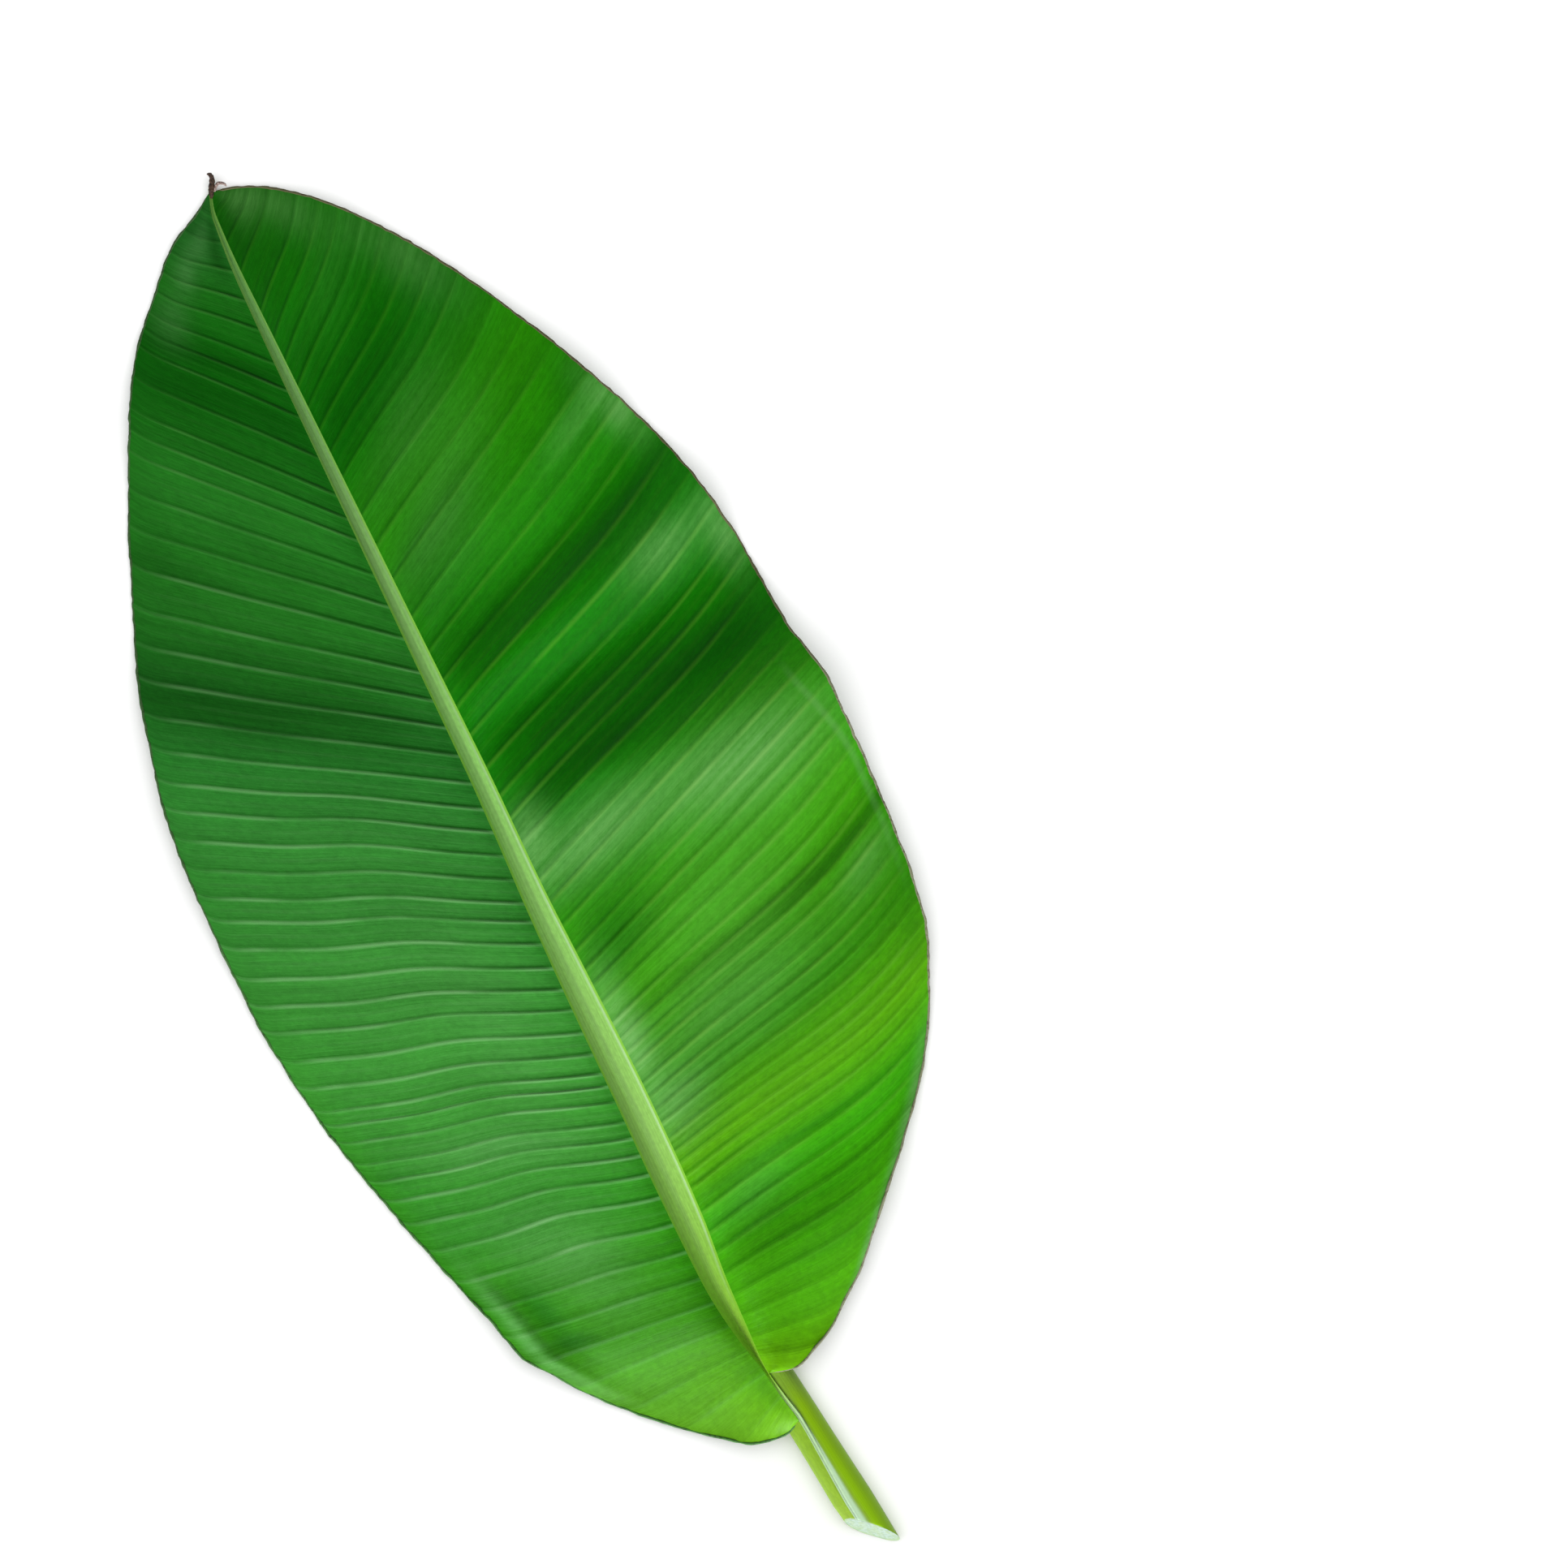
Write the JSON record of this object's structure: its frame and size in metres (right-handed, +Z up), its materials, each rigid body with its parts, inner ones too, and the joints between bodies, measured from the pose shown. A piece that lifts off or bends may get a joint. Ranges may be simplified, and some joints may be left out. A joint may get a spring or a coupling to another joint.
{
  "type": "banana leaf",
  "caption": "Whole broad green leaf with a channelled midrib, parallel side veins, a waved edge and a short cut stalk, lying flat as a tray liner, wrapper or table dressing.",
  "frame": {"origin": "centre of the leaf's box at its base, on the surface that the leaf lies on", "axes": "+Y along the midrib from the cut stalk to the tip, +X to the waved half of the blade, +Z up out of the leaf's upper face"},
  "size_m": [0.2665, 0.6129, 0.0178],
  "materials": {
    "leaf": "satin"
  },
  "bodies": {
    "root": {"banana_leaf": "leaf"}
  },
  "joints": []
}
